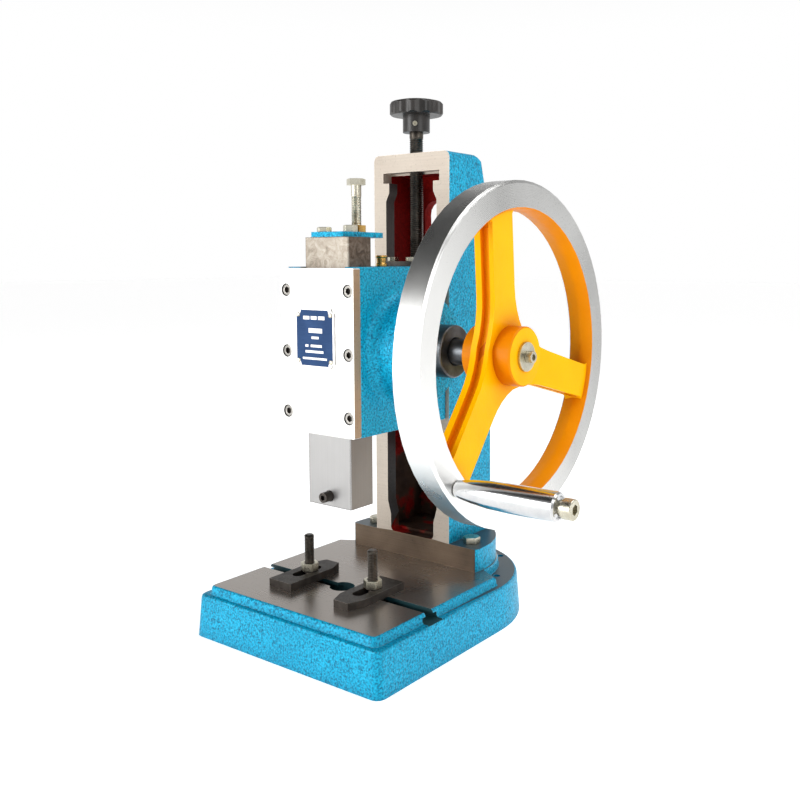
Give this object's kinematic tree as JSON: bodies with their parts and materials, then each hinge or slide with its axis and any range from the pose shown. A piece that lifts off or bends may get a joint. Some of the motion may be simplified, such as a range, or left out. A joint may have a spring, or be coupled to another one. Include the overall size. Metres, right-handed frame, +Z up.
{
  "type": "bench hand press",
  "caption": "Bench-top hand press: cast base with T-slot table, hollow column, screw-raised head, and a square ram driven by a spoked handwheel through a rack and pinion",
  "frame": {"origin": "on the base's underside, at the middle of the base outline, on the cross rib", "axes": "+Z up, +X towards the handwheel, -Y towards the operator, so the column stands at the back"},
  "size_m": [0.3292, 0.2706, 0.4327],
  "materials": {
    "base_enamel": "hammered blue enamel on cast iron; the table top is machined bare metal",
    "column_enamel": "hammered blue enamel on cast iron; the front guide face is machined bare metal, the inside dark red primer",
    "head_enamel": "hammered blue enamel",
    "wheel_paint": "bright yellow enamel on the spokes and hub; the rim is turned bright steel",
    "cover_steel": "pale satin steel",
    "ground_steel": "ground steel with fine lengthwise lines",
    "dark_steel": "turned steel, slate grey",
    "spindle_steel": "oiled threaded steel",
    "zinc": "zinc plated, slightly yellowish",
    "black_oxide": "blackened steel, worn at the edges",
    "brass": "brass with light tarnish",
    "bronze": "bearing bronze",
    "chrome": "polished chrome plate",
    "nameplate": "thin aluminium plate, silver edge and blue field",
    "knob_black": "dark brown-black satin plastic"
  },
  "bodies": {
    "base": {"base_casting": "base_enamel", "column_casting": "column_enamel", "foot_bolt_1": "zinc", "foot_bolt_2": "zinc", "lower_bolt_1": "zinc", "lower_bolt_2": "zinc"},
    "head": {"head_casting": "head_enamel", "clamp_shoe": "dark_steel", "shoe_bolt_1": "zinc", "shoe_bolt_2": "zinc", "gib_plate": "bronze", "cover_plate": "cover_steel", "cover_screw_1": "zinc", "cover_screw_2": "zinc", "cover_screw_3": "zinc", "cover_screw_4": "zinc", "cover_screw_5": "zinc", "cover_screw_6": "zinc", "nameplate": "nameplate", "nameplate_rivet_1": "zinc", "nameplate_rivet_2": "zinc", "nameplate_rivet_3": "zinc", "nameplate_rivet_4": "zinc", "oil_cup": "brass", "shaft_bush": "dark_steel", "shaft_cap": "head_enamel", "cap_screw_1": "zinc", "cap_screw_2": "zinc", "cap_screw_3": "zinc", "screw_keeper": "black_oxide", "keeper_bolt_1": "zinc", "keeper_bolt_2": "zinc"},
    "ram_body": {"ram": "ground_steel", "stop_plate": "head_enamel", "plate_bolt_1": "zinc", "plate_bolt_2": "zinc", "stop_nut": "brass"},
    "stop_screw": {"stop_bolt": "zinc"},
    "tool_clamp": {"tool_screw": "black_oxide"},
    "wheel": {"handwheel": "wheel_paint", "pinion_shaft": "dark_steel", "shaft_key": "dark_steel", "wheel_washer": "zinc", "wheel_bolt": "zinc", "handle_bolt": "zinc"},
    "grip": {"handle_sleeve": "chrome"},
    "spindle": {"lead_screw": "spindle_steel", "star_knob": "knob_black", "knob_screw": "zinc"},
    "stud_1": {"clamp_stud_1": "black_oxide", "clamp_nut_1": "zinc"},
    "stud_2": {"clamp_stud_2": "black_oxide", "clamp_nut_2": "zinc"},
    "strap_1": {"clamp_strap_1": "black_oxide"},
    "strap_2": {"clamp_strap_2": "black_oxide"}
  },
  "joints": [
    {"name": "head_slide", "type": "slide", "parent": "base", "child": "head", "axis": [0, 0, 1], "range_m": [-0.016, 0.05]},
    {"name": "spindle_turn", "type": "hinge", "parent": "head", "child": "spindle", "pos_m": [0, 0.042, 0.3], "axis": [0, 0, 1], "range_deg": [-3292, 10287]},
    {"name": "wheel_turn", "type": "hinge", "parent": "head", "child": "wheel", "pos_m": [0, -0.021, 0.2318], "axis": [1, 0, 0], "range_deg": [-107.4, 28.65]},
    {"name": "ram_slide", "type": "slide", "parent": "head", "child": "ram_body", "axis": [0, 0, 1], "range_m": [-0.0121, 0.0452]},
    {"name": "stop_travel", "type": "slide", "parent": "ram_body", "child": "stop_screw", "axis": [0, 0, 1], "range_m": [0, 0.008]},
    {"name": "tool_screw_travel", "type": "slide", "parent": "ram_body", "child": "tool_clamp", "axis": [0, -1, 0], "range_m": [-0.003, 0.006]},
    {"name": "grip_spin", "type": "hinge", "parent": "wheel", "child": "grip", "pos_m": [0.183, -0.10322, 0.1524], "axis": [1, 0, 0], "continuous": true},
    {"name": "stud_1_slide", "type": "slide", "parent": "base", "child": "stud_1", "axis": [1, 0, 0], "range_m": [-0.025, 0.006]},
    {"name": "stud_2_slide", "type": "slide", "parent": "base", "child": "stud_2", "axis": [1, 0, 0], "range_m": [-0.006, 0.025]},
    {"name": "strap_1_swivel", "type": "hinge", "parent": "stud_1", "child": "strap_1", "pos_m": [-0.036, -0.056, 0.044], "axis": [0, 0, 1], "range_deg": [-30, 30]},
    {"name": "strap_2_swivel", "type": "hinge", "parent": "stud_2", "child": "strap_2", "pos_m": [0.0322, -0.056, 0.044], "axis": [0, 0, 1], "range_deg": [-30, 30]}
  ],
  "couplings": [
    {"joint": "spindle_turn", "follows": "head_slide", "rad_per_m": 3590.4},
    {"joint": "ram_slide", "follows": "wheel_turn", "m_per_rad": -0.024}
  ]
}
